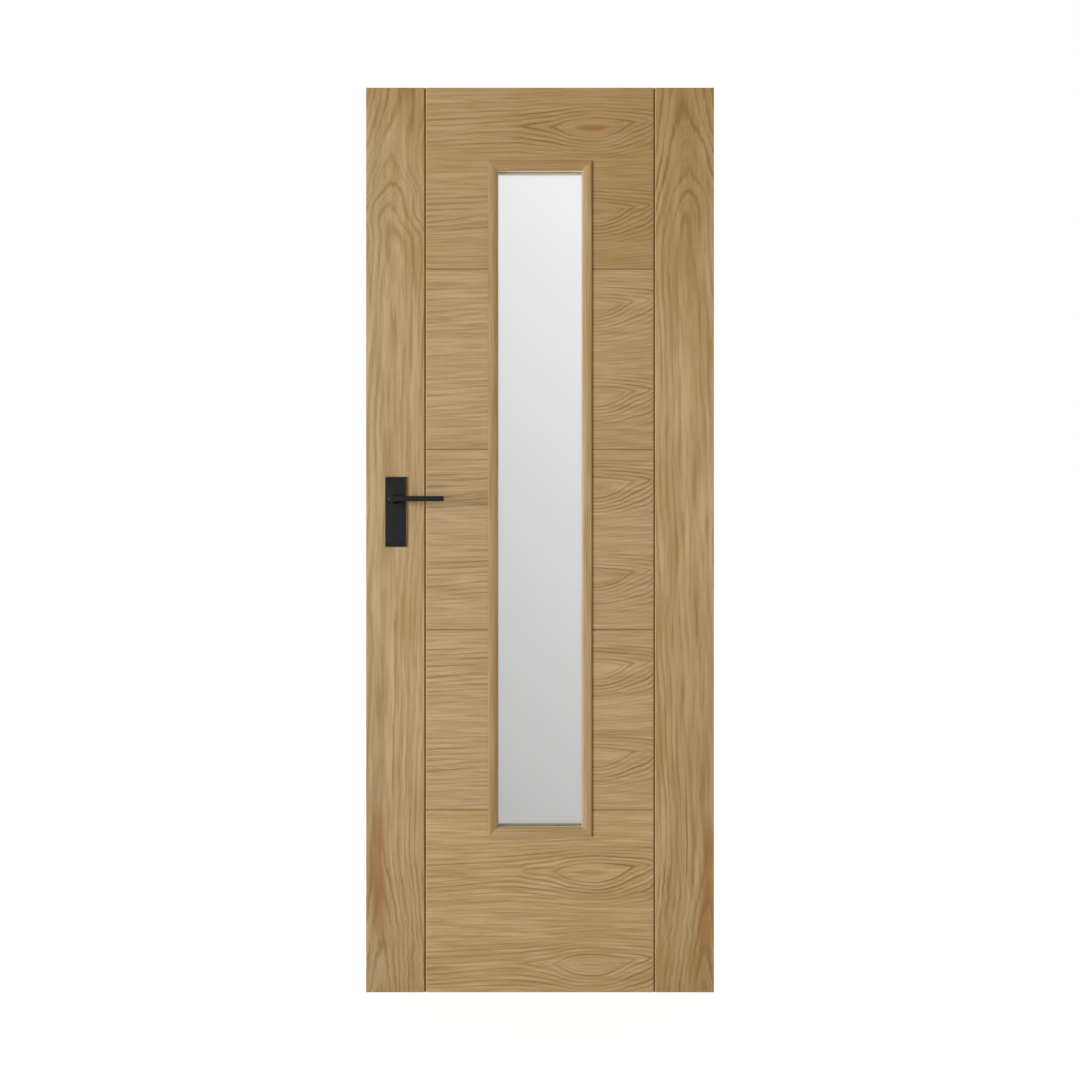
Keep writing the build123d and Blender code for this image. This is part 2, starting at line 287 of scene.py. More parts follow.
class DoorGlassSettings(bpy.types.PropertyGroup):
    """The obscured pane."""

    # The pane's tints are painted light: paler at the head, darker at the foot
    lit_head_tint: FloatVectorProperty(
        name="Tint at the head", description="Colour of the pane at its head", subtype="COLOR",
        default=(0.892, 0.892, 0.892),
    )
    shaded_foot_tint: FloatVectorProperty(
        name="Tint at the foot", description="Colour of the pane at its foot", subtype="COLOR",
        default=(0.473, 0.473, 0.473),
    )
    roughness: FloatProperty(
        name="Roughness", description="How strongly the pane blurs", min=0, max=1, default=0.3,
    )


class DoorSteelSettings(bpy.types.PropertyGroup):
    """Brushed steel of the latch and the spindle."""

    colour: FloatVectorProperty(
        name="Steel", description="Colour of the steel", subtype="COLOR", default=(0.33, 0.33, 0.325),
    )
    screw_radius: FloatProperty(
        name="Screw head radius", description="Radius of a forend screw's head", unit="LENGTH",
        default=0.0036,
    )


class DoorStudioSettings(bpy.types.PropertyGroup):
    """Camera and lights."""

    camera_distance: FloatProperty(
        name="Camera distance", description="From the lens to the front face", unit="LENGTH", default=2.300,
    )
    frame_width: FloatProperty(
        name="Frame width", description="Width that the picture covers at the front face", unit="LENGTH",
        default=2.365,
    )
    key_power: FloatProperty(
        name="Key power", description="Power of the strip lamp on the left", unit="POWER", default=840.0,
    )
    key_colour: FloatVectorProperty(
        name="Key colour", description="Colour of the strip lamp", subtype="COLOR", default=(1.0, 1.08, 1.21),
    )
    key_azimuth: FloatProperty(
        name="Key azimuth", description="Angle of the key from the leaf's face", subtype="ANGLE",
        default=math.radians(31),
    )
    fill: FloatProperty(
        name="Fill", description="Strength of the even light in front", min=0, default=0.25,
    )
    fill_colour: FloatVectorProperty(
        name="Fill colour", description="Colour of the even light", subtype="COLOR",
        default=(1.0, 0.80, 0.50),
    )
    overhead: FloatProperty(
        name="Overhead", description="Strength that the light gains towards the top", min=0, default=0.36,
    )
    backdrop: FloatProperty(
        name="Backdrop", description="Strength of the white behind the leaf", min=0, default=1.0,
    )


class Wiring:
    """Adds nodes to one shader tree and joins them."""

    def __init__(self, tree):
        self.tree = tree

    def add(self, kind, values=None, **settings):
        """A new node with its settings and with its inputs given."""
        made = self.tree.nodes.new(kind)
        for name, value in settings.items():
            setattr(made, name, value)
        self.fill(made, values or {})
        return made

    def fill(self, node, values):
        """Gives a node's inputs their numbers, their colours or other nodes' outputs."""
        for key, value in values.items():
            if isinstance(value, bpy.types.NodeSocket):
                self.tree.links.new(value, node.inputs[key])
            else:
                node.inputs[key].default_value = value

    def math(self, operation, *terms):
        return self.add("ShaderNodeMath", dict(enumerate(terms)), operation=operation).outputs[0]

    def sum(self, first, *others):
        for term in others:
            first = self.math("ADD", first, term)
        return first

    def times(self, first, second):
        return self.math("MULTIPLY", first, second)

    def noise(self, x, y, z, detail=2.0, roughness=0.5):
        """Noise about zero at a point whose three places are already scaled."""
        place = self.add("ShaderNodeCombineXYZ", {"X": x, "Y": y, "Z": z}).outputs[0]
        values = {"Vector": place, "Scale": 1.0, "Detail": detail, "Roughness": roughness}
        made = self.add("ShaderNodeTexNoise", values, noise_dimensions="3D")
        return self.math("SUBTRACT", made.outputs[0], 0.5)

    def grain_noise(self, first, second, rates, seed, detail=2.0, roughness=0.5):
        """Noise about zero that changes at its own rate in each of two directions."""
        return self.noise(self.times(first, rates[0]), self.times(second, rates[1]), seed, detail, roughness)

    def ramp(self, value, low, high, start=0.0, end=1.0):
        """value from low to high, smoothly turned into start to end."""
        values = {0: value, 1: low, 2: high, 3: start, 4: end}
        return self.add("ShaderNodeMapRange", values, interpolation_type="SMOOTHSTEP", clamp=True).outputs[0]

    def share(self, value, low, high):
        """How far a value lies between two limits, from 0 to 1."""
        return self.add("ShaderNodeMapRange", {0: value, 1: low, 2: high, 3: 0.0, 4: 1.0}).outputs[0]

    def mix(self, factor, first, second):
        values = {0: factor, 6: first, 7: second}
        return self.add("ShaderNodeMix", values, data_type="RGBA", clamp_factor=True).outputs[2]

    def curve(self, value, points):
        """A smooth curve through points whose places run from 0 to 1."""
        made = self.add("ShaderNodeFloatCurve", {"Value": value})
        line = made.mapping.curves[0]
        line.points[0].location = points[0]
        line.points[1].location = points[-1]
        for place in points[1:-1]:
            line.points.new(*place)
        for point in line.points:
            point.handle_type = "AUTO_CLAMPED"
        made.mapping.update()
        return made.outputs[0]


def new_group(name, inputs, outputs):
    """A shader group with its sockets: the tree, its wiring and what it takes and gives out."""
    tree = bpy.data.node_groups.new(name, "ShaderNodeTree")
    for socket, default in inputs.items():
        kind = "NodeSocketColor" if isinstance(default, tuple) else "NodeSocketFloat"
        made = tree.interface.new_socket(name=socket, in_out="INPUT", socket_type=kind)
        made.default_value = default
    for socket, kind in outputs.items():
        tree.interface.new_socket(name=socket, in_out="OUTPUT", socket_type=kind)
    given, result = tree.nodes.new("NodeGroupInput").outputs, tree.nodes.new("NodeGroupOutput").inputs
    return tree, Wiring(tree), given, result


def grain_wander(wire, given, across, along, seed):
    """How far the grain strays sideways: a slow and a quick bend, and a ripple where it strays most."""
    slow = wire.grain_noise(across, along, SLOW_BEND_RATES, seed, 1.0)
    quick = wire.grain_noise(across, along, QUICK_BEND_RATES, seed)
    ripple = wire.grain_noise(across, along, RIPPLE_RATES, seed, 1.0)
    bends = wire.sum(wire.times(slow, SLOW_BEND), wire.times(quick, QUICK_BEND))
    most = wire.math("MAXIMUM", wire.sum(given["Wander"], -1.0), 0.0)
    rippled = wire.times(wire.times(ripple, most), RIPPLE)
    return wire.sum(wire.times(bends, given["Wander"]), rippled)


def heart_distance(wire, given, across, along, wander, near, seed):
    """The distance from the heart, which is at its far depth away from the eye. Tip shapes the eye's ends."""
    shift = wire.math("SUBTRACT", across, wire.times(given["Crown"], near))
    offset = wire.math("ABSOLUTE", wire.sum(shift, wander))
    roll = wire.grain_noise(along, across, HEART_ROLL_RATES, wire.sum(seed, ROLL_SEED), 1.0)
    heart_depth = wire.times(wire.math("SUBTRACT", given["Heart Depth"], given["Far Depth"]), near)
    depth = wire.sum(heart_depth, given["Far Depth"], given["Depth"], wire.times(roll, HEART_ROLL))
    depth = wire.math("MAXIMUM", depth, LEAST_DEPTH)
    powers = wire.sum(wire.math("POWER", offset, given["Tip"]), wire.math("POWER", depth, given["Tip"]))
    return wire.math("POWER", powers, wire.math("DIVIDE", 1.0, given["Tip"]))


def ring_count(wire, given, across, along, distance, seed):
    """How many rings lie between the heart and a point, uneven in width and feathered at their edges."""
    uneven_rate, roughness = 0.6, 0.62
    crowded = wire.sum(wire.times(distance, given["Crowding"]), 1.0)
    rings = wire.times(wire.math("DIVIDE", distance, given["Ring Width"]), crowded)
    uneven = wire.noise(wire.times(rings, uneven_rate), 0.0, wire.sum(seed, UNEVEN_SEED), 1.0)
    feather = wire.grain_noise(across, along, FEATHER_RATES, wire.sum(seed, FEATHER_SEED), 2.0, roughness)
    ragged = wire.sum(wire.times(uneven, given["Uneven"]), wire.times(feather, given["Feather"]))
    return wire.sum(rings, given["Phase"], ragged)


def ring_line(wire, given, rings, distance, near, seed):
    """The dark line at the start of each ring: a plain core and a softer shade that fades behind it."""
    ring_to_ring, along_rate, faintest, clear_edge = 5.7, 7.0, 0.3, 0.9
    phase = wire.math("FRACT", rings)
    core_start = wire.times(given["Line Width"], CORE_FADE)
    core = wire.ramp(phase, core_start, given["Line Width"], LINE_CORE, 0.0)
    fade = wire.ramp(phase, core_start, given["Line Fade"], 1.0 - LINE_CORE, 0.0)
    line = wire.times(wire.ramp(phase, 0.0, given["Line Edge"]), wire.sum(core, fade))
    each = wire.grain_noise(wire.math("FLOOR", rings), given["Along"], (ring_to_ring, along_rate), seed)
    line = wire.times(line, wire.ramp(each, -0.2, 0.2, faintest, 1.0))
    line = wire.times(line, wire.ramp(near, *NEAR_LINES, given["Far Line"], 1.0))
    clear = wire.math("DIVIDE", distance, wire.math("MAXIMUM", given["Clear Radius"], 0.0001))
    return wire.times(line, wire.ramp(clear, clear_edge, 1.0))


def timber_figure_group():
    """Growth rings cut by a board: lines of equal distance from a heart that lies under the face."""
    inputs = {
        "Across": 0.0, "Along": 0.0, "Depth": 0.0, "Crown": 0.0, "Heart Depth": 0.04, "Tip": 1.5,
        "Ring Width": 0.009, "Crowding": 0.0, "Phase": 0.0, "Uneven": 0.2, "Wander": 1.0, "Feather": 0.3,
        "Line Edge": 0.07, "Line Width": 0.2, "Line Fade": 0.6, "Streak Pitch": 0.003, "Streak Length": 0.15,
        "Between": 3.6, "Clear Radius": 0.0, "Figure Reach": 10.0, "Far Depth": 0.04, "Far Line": 1.0,
        "Seed": 0.0,
    }
    outputs = dict.fromkeys(("Distance", "Ring Line", "Streak", "Pore", "Band", "Mottle"), "NodeSocketFloat")
    tree, wire, given, result = new_group("Timber figure", inputs, outputs)
    seed, across, along = given["Seed"], given["Across"], given["Along"]
    wander = grain_wander(wire, given, across, along, seed)
    bent = wire.sum(across, wander)
    away = wire.math("DIVIDE", bent, given["Figure Reach"])
    near = wire.math("DIVIDE", 1.0, wire.sum(wire.times(away, away), 1.0))
    distance = heart_distance(wire, given, across, along, wander, near, seed)
    rings = ring_count(wire, given, across, along, distance, seed)
    line = ring_line(wire, given, rings, distance, near, wire.sum(seed, LINE_SEED))

    depth_rate, streak_share, between_share, mottle_rates = 330.0, 0.75, 0.65, (0.25, 0.5)
    deep = wire.sum(wire.times(given["Depth"], depth_rate), seed)
    pitched = wire.math("DIVIDE", bent, given["Streak Pitch"])
    run = wire.math("DIVIDE", along, given["Streak Length"])
    fibres = wire.noise(pitched, run, deep, 3.0, 0.6)
    between = wire.noise(wire.times(rings, given["Between"]), run, wire.sum(seed, BETWEEN_SEED))
    streak = wire.sum(wire.times(fibres, streak_share), wire.times(between, between_share))
    pore = wire.grain_noise(bent, along, PORE_RATES, deep, 1.0)
    band = wire.grain_noise(distance, along, BAND_RATES, wire.sum(seed, BAND_SEED))
    mottle = wire.grain_noise(pitched, run, mottle_rates, wire.sum(seed, MOTTLE_SEED))
    for name, value in zip(outputs, (distance, line, streak, pore, band, mottle)):
        tree.links.new(value, result[name])
    return tree


def oak_colour_group(oak):
    """Turns the timber figure into colour, roughness and relief."""
    inputs = {
        "Ring Line": 0.0, "Streak": 0.0, "Pore": 0.0, "Band": 0.0, "Mottle": 0.0,
        "Tone": 0.0, "Heart": 0.0, "Seam": 0.0, "Painted Shade": 0.0, "End Grain": 0.0, "Line Strength": 1.0,
        "Pale": (*oak.pale, 1.0), "Mid": (*oak.mid, 1.0), "Dark": (*oak.dark, 1.0), "Warm": (*oak.warm, 1.0),
        "Heart Color": (*oak.heart, 1.0), "Seam And Shade Color": (*oak.seam, 1.0), "Painted Light Wall": 0.0,
        "Painted Light Color": (*oak.painted_light_wall, 1.0),
    }
    outputs = {"Color": "NodeSocketColor", "Roughness": "NodeSocketFloat", "Height": "NodeSocketFloat"}
    tree, wire, given, result = new_group("Oak colour", inputs, outputs)
    streak_light, mottle_light, light_spread = 0.8, 0.7, 0.25
    band_brown, streak_brown = 0.45, 0.26
    heart_share, line_share, pore_share, end_share, shade_share = 0.85, 0.85, 0.6, 0.45, 0.6
    pore_in_line, pore_between = 0.7, 0.22
    plain_roughness, streak_roughness, line_roughness = 0.52, 0.12, 0.06
    line_relief, pore_relief, streak_relief = -0.5, -0.7, 0.4
    band_limits, streak_limits, pore_limits = (0.02, 0.36), (-0.26, 0.0), (0.08, 0.26)

    light = wire.sum(wire.times(given["Streak"], streak_light), wire.times(given["Mottle"], mottle_light))
    ground = wire.mix(wire.ramp(light, -light_spread, light_spread), given["Mid"], given["Pale"])
    ground = wire.mix(wire.ramp(given["Band"], *band_limits, 0.0, band_brown), ground, given["Warm"])
    brown = wire.sum(given["Tone"], wire.ramp(given["Streak"], *streak_limits, streak_brown, 0.0))
    ground = wire.mix(brown, ground, given["Warm"])
    ground = wire.mix(wire.times(given["Heart"], heart_share), ground, given["Heart Color"])
    late = wire.times(given["Ring Line"], given["Line Strength"])
    lined = wire.mix(wire.times(late, line_share), ground, given["Dark"])
    pores = wire.sum(wire.times(late, pore_in_line), pore_between)
    open_pore = wire.times(wire.ramp(given["Pore"], *pore_limits), pores)
    pored = wire.mix(wire.times(open_pore, pore_share), lined, given["Dark"])
    ended = wire.mix(wire.times(given["End Grain"], end_share), pored, given["Dark"])
    # Painted shade: groove walls and the boards beside the beads turn warm brown
    shaded = wire.mix(wire.times(given["Painted Shade"], shade_share), ended, given["Warm"])
    # Painted light: a bead's inner wall turns pale
    lit_walled = wire.mix(given["Painted Light Wall"], shaded, given["Painted Light Color"])
    # The seam: a dark joint line with painted shade
    seamed = wire.mix(given["Seam"], lit_walled, given["Seam And Shade Color"])
    roughness = wire.sum(
        wire.times(given["Streak"], streak_roughness), wire.times(late, line_roughness), plain_roughness
    )
    height = wire.sum(
        wire.times(late, line_relief), wire.times(open_pore, pore_relief),
        wire.times(given["Streak"], streak_relief),
    )
    for name, value in zip(outputs, (seamed, roughness, height)):
        tree.links.new(value, result[name])
    return tree


def oak_groups(oak):
    """The two oak groups, made once."""
    made = bpy.data.node_groups
    if "Timber figure" in made:
        return made["Timber figure"], made["Oak colour"]
    return timber_figure_group(), oak_colour_group(oak)


def coat_group():
    """Fine unevenness of a powder coat: a mask of its grain and one of its slow waves."""
    outputs = dict.fromkeys(("Grain", "Waves"), "NodeSocketFloat")
    tree, wire, given, result = new_group("Coat grain", {"Grain": COAT_GRAIN, "Waves": COAT_WAVES}, outputs)
    place = wire.add("ShaderNodeTexCoord").outputs["Object"]
    for name, detail in (("Grain", 2.0), ("Waves", 1.0)):
        made = wire.add("ShaderNodeTexNoise", {"Vector": place, "Scale": given[name], "Detail": detail})
        tree.links.new(made.outputs[0], result[name])
    return tree


def new_material(name):
    """An empty material with a Principled shader: the material, its wiring and the shader."""
    made = bpy.data.materials.new(name)
    made.use_nodes = True
    made.node_tree.nodes.clear()
    wire = Wiring(made.node_tree)
    shader = wire.add("ShaderNodeBsdfPrincipled")
    wire.add("ShaderNodeOutputMaterial", {"Surface": shader.outputs[0]})
    return made, wire, shader


def object_place(wire):
    """The three places of a point, in the object's own axes."""
    coordinates = wire.add("ShaderNodeTexCoord").outputs["Object"]
    return wire.add("ShaderNodeSeparateXYZ", {0: coordinates}).outputs


def relief(wire, shader, height, strength, depth):
    """Bumps a shader's surface by a height."""
    bump = wire.add("ShaderNodeBump", {"Height": height, "Strength": strength, "Distance": depth})
    wire.fill(shader, {"Normal": bump.outputs[0]})


def two_tones(colour, darker, paler):
    """A darker and a paler tone of a colour, with four numbers each."""
    return [(*(part * share for part in colour), 1.0) for share in (darker, paler)]


def gilded(colour, golden):
    """A wood colour with its share of gold, with four numbers."""
    return (*(part * (1 + gain * golden) for part, gain in zip(colour, GOLDEN)), 1.0)


def oak_material(name, oak, place, cut, seed, golden=0.0):
    """An oak finish. place gives where a point lies in the timber, and cut how the board shows its rings."""
    figure, colour = oak_groups(oak)
    made, wire, shader = new_material(name)
    x, y, z = object_place(wire)
    plain = dict.fromkeys(("Seed", "Tone", "Heart", "Eye", "Seam", "Painted Shade", "Painted Light Wall"), 0.0)
    spot = {**plain, "Line Strength": 1.0, **place(wire, x, z)}
    spot["Depth"] = wire.math("SUBTRACT", HALF_THICKNESS, wire.math("ABSOLUTE", y))
    spot["Seed"] = wire.sum(spot["Seed"], seed)
    rings = wire.add("ShaderNodeGroup", node_tree=figure)
    tint = wire.add("ShaderNodeGroup", node_tree=colour)
    wire.fill(rings, {key: value for key, value in {**cut, **spot}.items() if key in rings.inputs})
    normal = wire.add("ShaderNodeTexCoord").outputs["Normal"]
    facing = wire.add("ShaderNodeSeparateXYZ", {0: normal}).outputs[spot["Grain Axis"]]
    eye = wire.times(wire.ramp(rings.outputs["Distance"], *EYE_RADII, 1.0, 0.0), spot["Eye"])
    wire.fill(tint, {key: rings.outputs[key] for key in ("Ring Line", "Streak", "Pore", "Band", "Mottle")})
    wire.fill(tint, {
        "Pale": gilded(oak.pale, golden), "Mid": gilded(oak.mid, golden), "Tone": spot["Tone"],
        "Heart": wire.sum(spot["Heart"], eye), "Seam": spot["Seam"], "Painted Shade": spot["Painted Shade"],
        "End Grain": wire.ramp(wire.math("ABSOLUTE", facing), *END_GRAIN_FACING),
        "Line Strength": wire.times(spot["Line Strength"], cut["Line Strength"]),
        # Painted light on the pale inner walls deep in a bead
        "Painted Light Wall": wire.ramp(spot["Depth"], *PAINTED_LIGHT_DEPTHS, 0.0, spot["Painted Light Wall"]),
    })
    wire.fill(shader, {
        "Base Color": tint.outputs["Color"], "Roughness": tint.outputs["Roughness"],
        "Specular IOR Level": LACQUER_SPECULAR,
    })
    relief(wire, shader, tint.outputs["Height"], strength=0.25, depth=0.0002)
    return made


def groove_masks(wire, places):
    """Masks of the foot and walls of V grooves. places gives a coordinate, its joint and both strengths."""
    # The foot is a dark joint line with painted shade; the walls get painted shade only
    foot = painted_shade = 0.0
    for value, joint, foot_strength, shade_strength in places:
        away = wire.math("ABSOLUTE", wire.math("SUBTRACT", value, joint))
        if foot_strength:
            foot = wire.math("MAXIMUM", foot, wire.ramp(away, SEAM_CORE, SEAM_REACH, foot_strength, 0.0))
        painted_shade = wire.math("MAXIMUM", painted_shade, wire.ramp(away, SEAM_REACH, PAINTED_SHADE_REACH, shade_strength, 0.0))
    return foot, painted_shade


def stile_place(stile):
    """Grain that runs up the leaf, about a heart that wanders as the stile's crown says."""
    heights, insets, depths, browns, hearts, wanders, strengths = zip(*stile.crown)
    shares = [height / LEAF_HEIGHT for height in heights]
    inward = math.copysign(1.0, stile.joint - stile.edge)
    width = abs(stile.joint - stile.edge)
    most_wander = max(wanders)
    straying = [wander / most_wander for wander in wanders]

    def place(wire, x, z):
        share = wire.times(z, 1 / LEAF_HEIGHT)
        inset, depth, brown, heart, wander, strength = (
            wire.curve(share, list(zip(shares, column)))
            for column in (insets, depths, browns, hearts, straying, strengths)
        )
        distance_in = wire.times(wire.math("SUBTRACT", x, stile.edge), inward)
        off_crown = wire.math("ABSOLUTE", wire.math("SUBTRACT", distance_in, inset))
        # Painted shade in the groove at the stile's joint
        foot, painted_shade = groove_masks(wire, [(distance_in, width, 1.0, 1.0)])
        return {
            "Across": distance_in, "Along": z, "Crown": inset, "Heart Depth": depth, "Tone": brown,
            "Heart": wire.times(heart, wire.ramp(off_crown, *CROWN_TINT_REACH, 1.0, 0.0)),
            "Wander": wire.times(wander, most_wander), "Seam": foot, "Painted Shade": painted_shade, "Grain Axis": 2,
            "Line Strength": strength,
        }

    return place


def board_place(row_foot, row_head, figure):
    """Grain that runs across the leaf, in two veneer leaves, each with an eye."""
    upper_eye, lower_eye, leaf_joint = (
        row_head - below for below in (figure.upper_eye, figure.lower_eye, figure.leaf_joint)
    )
    spread = BOARD_RISE_HIGH - BOARD_RISE_LOW
    rises = [(share, (rise - BOARD_RISE_LOW) / spread) for share, rise, _ in BOARD_CROWN]
    depths = [(share, depth) for share, _, depth in BOARD_CROWN]
    left_brown, right_brown = (share * figure.brown for share in BROWN_ACROSS)

    def place(wire, x, z):
        upper = wire.math("GREATER_THAN", z, leaf_joint)
        eye = wire.sum(wire.times(upper, upper_eye - lower_eye), lower_eye)
        share = wire.share(x, INFILL_LEFT, INFILL_RIGHT)
        # Painted shadow that each bead casts on the boards beside it, strongest on the right of the glass
        beside_light = wire.times(
            wire.math("GREATER_THAN", z, BEADS_FOOT), wire.math("LESS_THAN", z, BEADS_HEAD)
        )
        grooves = [
            (x, INFILL_LEFT, 1.0, 1.0), (x, INFILL_RIGHT, 1.0, 1.0), (x, BEADS_RIGHT, 0.0, beside_light),
            (x, BEADS_LEFT, 0.0, wire.times(beside_light, BEAD_SHADE)),
        ]
        for level in (row_head, row_foot):
            if LEAF_END < level < LEAF_HEIGHT - LEAF_END:
                grooves.append((z, level, LEVEL_SEAM, LEVEL_SEAM))
        foot, painted_shade = groove_masks(wire, grooves)
        return {
            "Across": wire.math("SUBTRACT", z, eye), "Along": x,
            "Crown": wire.sum(wire.times(wire.curve(share, rises), spread), BOARD_RISE_LOW),
            "Heart Depth": wire.curve(share, depths), "Seam": foot, "Painted Shade": painted_shade,
            "Eye": wire.sum(wire.times(upper, figure.heart * (1 - LOWER_EYE)), figure.heart * LOWER_EYE),
            "Seed": wire.times(upper, LEAF_SEED_STEP), "Grain Axis": 0,
            "Line Strength": wire.ramp(share, *LINES_GROW, LINES_FAINT, 1.0),
            "Tone": wire.ramp(share, 0.0, 1.0, left_brown, right_brown),
        }

    return place


def bead_place(upright, tone):
    """Straight grain along a bead."""

    def place(wire, x, z):
        across, along = (x, z) if upright else (z, x)
        return {
            "Across": across, "Along": along, "Crown": BEAD_HEART_ASIDE, "Heart Depth": BEAD_HEART_DEPTH,
            # Painted light on the bead's inner walls
            "Grain Axis": 2 if upright else 0, "Painted Light Wall": 1.0, "Tone": tone,
        }

    return place


def coated_iron():
    """Black coated iron, made once."""
    if "black_coated_iron" in bpy.data.materials:
        return bpy.data.materials["black_coated_iron"]
    iron = bpy.context.scene.door_iron
    made, wire, shader = new_material("black_coated_iron")
    grain = wire.add("ShaderNodeGroup", {"Grain": COAT_GRAIN, "Waves": COAT_WAVES}, node_tree=coat_group())
    wave_roughness = 0.10
    worn = wire.times(wire.math("SUBTRACT", grain.outputs["Waves"], 0.5), wave_roughness)
    wire.fill(shader, {
        "Roughness": wire.sum(worn, iron.roughness), "Specular IOR Level": COAT_SPECULAR,
        "Base Color": wire.mix(grain.outputs["Grain"], *two_tones(iron.colour, darker=0.7, paler=1.3)),
    })
    relief(wire, shader, grain.outputs["Grain"], strength=0.3, depth=0.00004)
    return made


def brushed_steel():
    """Brushed steel, made once."""
    if "brushed_steel" in bpy.data.materials:
        return bpy.data.materials["brushed_steel"]
    steel = bpy.context.scene.door_steel
    made, wire, shader = new_material("brushed_steel")
    rates, plain_roughness, brush_roughness = (900.0, 2600.0, 40.0), 0.62, 0.25
    brush = wire.noise(*(wire.times(place, rate) for place, rate in zip(object_place(wire), rates)))
    wire.fill(shader, {
        "Roughness": wire.sum(wire.times(brush, brush_roughness), plain_roughness), "Metallic": 1.0,
        "Base Color": wire.mix(wire.sum(brush, 0.5), *two_tones(steel.colour, darker=0.85, paler=1.1)),
    })
    return made


def obscured_glass(glass):
    """Obscured glass with painted light: it pales towards its head and its right."""
    made, wire, shader = new_material("obscured_glass")
    frost_rate, frost_roughness = 900.0, 0.06
    x, y, z = object_place(wire)
    lean = wire.times(wire.math("SUBTRACT", x, LEAF_CENTRE), GLASS_LIGHT_LEAN)
    lit_share = wire.sum(wire.share(z, GLASS_FOOT, GLASS_HEAD), lean)
    frost = wire.noise(*(wire.times(place, frost_rate) for place in (x, y, z)), 3.0)
    wire.fill(shader, {
        "Base Color": wire.mix(lit_share, (*glass.shaded_foot_tint, 1.0), (*glass.lit_head_tint, 1.0)),
        "Roughness": wire.sum(wire.times(frost, frost_roughness), glass.roughness),
        "Transmission Weight": 1.0, "IOR": PANE_IOR,
    })
    relief(wire, shader, frost, strength=0.15, depth=0.00005)
    return made


def glazing_tape():
    """Pale foam tape."""
    made, wire, shader = new_material("glazing_tape")
    place = wire.add("ShaderNodeTexCoord").outputs["Object"]
    cells = wire.add("ShaderNodeTexNoise", {"Vector": place, "Scale": 1500.0, "Detail": 2.0}).outputs[0]
    wire.fill(shader, {"Base Color": wire.mix(cells, *TAPE_SHADES), "Roughness": 0.9})
    return made


def finish(material, *nodes):
    """Gives CAD nodes their finish."""
    for node in nodes:
        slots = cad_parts[node].data.materials
        slots.clear()
        slots.append(material)


class DOOR_OT_stiles(bpy.types.Operator):
    """Finish both stiles and their lippings in oak with its grain upright"""

    bl_idname = "door.stiles"
    bl_label = "Finish Stiles"

    def execute(self, context):
        oak = context.scene.door_oak
        cut = {
            "Ring Width": oak.stile_ring, "Tip": 1.7, "Uneven": 0.5, "Feather": 0.62, "Line Edge": 0.24,
            "Line Width": 0.48, "Line Fade": 1.0, "Streak Pitch": 0.0065, "Line Strength": 0.95,
        }
        for side, stile in STILES.items():
            made = oak_material(f"oak_{side}_stile", oak, stile_place(stile), cut, stile.seed, stile.golden)
            finish(made, *stile.nodes)
        return {"FINISHED"}


class DOOR_OT_boards(bpy.types.Operator):
    """Finish the boards in oak with its grain across the leaf"""

    bl_idname = "door.boards"
    bl_label = "Finish Boards"

    def execute(self, context):
        oak = context.scene.door_oak
        cut = {
            "Ring Width": oak.board_ring, "Crowding": 2.5, "Phase": 0.57, "Tip": 1.15, "Uneven": 0.22,
            "Wander": 0.4, "Feather": 0.2, "Line Edge": 0.20, "Line Width": 0.46, "Line Fade": 0.8,
            "Streak Pitch": 0.0023, "Streak Length": 0.08, "Between": 6.0, "Line Strength": 0.95,
            "Clear Radius": HEART_CLEAR_RADIUS, "Figure Reach": 0.05, "Far Depth": 0.04, "Far Line": 0.32,
        }
        for number, (row, nodes) in enumerate(BOARD_ROWS.items()):
            foot, head = (corner.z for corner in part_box(nodes[0]))
            if row != "head":
                head -= TONGUE
            figure = ROW_FIGURES[row]
            seed = BOARD_SEED + ROW_SEED_STEP * number
            place = board_place(foot, head, figure)
            made = oak_material(f"oak_{row}_boards", oak, place, cut, seed, figure.golden)
            finish(made, *nodes)
        return {"FINISHED"}


class DOOR_OT_beads(bpy.types.Operator):
    """Finish the glazing beads in oak with its grain along them"""

    bl_idname = "door.beads"
    bl_label = "Finish Beads"

    def execute(self, context):
        oak = context.scene.door_oak
        cut = {
            "Ring Width": oak.bead_ring, "Tip": 2.0, "Uneven": 0.5, "Wander": 0.3, "Feather": 0.5,
            "Line Width": 0.3, "Line Fade": 0.9, "Streak Pitch": 0.0045, "Line Strength": 0.5,
        }
        for side, (upright, tone) in BEAD_TONES.items():
            seed = BEAD_SEED + tone * TONE_SEED_STEP
            made = oak_material(f"oak_{side}_bead", oak, bead_place(upright, tone), cut, seed)
            finish(made, *(f"{face}_{side}_bead" for face in FACES))
        return {"FINISHED"}


class DOOR_OT_glass(bpy.types.Operator):
    """Finish the pane as obscured glass, and its tape"""

    bl_idname = "door.glass"
    bl_label = "Finish Glass"

    def execute(self, context):
        finish(obscured_glass(context.scene.door_glass), "glass_pane")
        finish(glazing_tape(), "front_glazing_tape", "back_glazing_tape")
        return {"FINISHED"}


class DOOR_OT_levers(bpy.types.Operator):
    """Finish the plates and levers in black coated iron, and the spindle in steel"""

    bl_idname = "door.levers"
    bl_label = "Finish Levers"

    def execute(self, context):
        finish(coated_iron(), "front_plate", "front_lever", "back_plate", "back_lever")
        finish(brushed_steel(), "spindle")
        return {"FINISHED"}


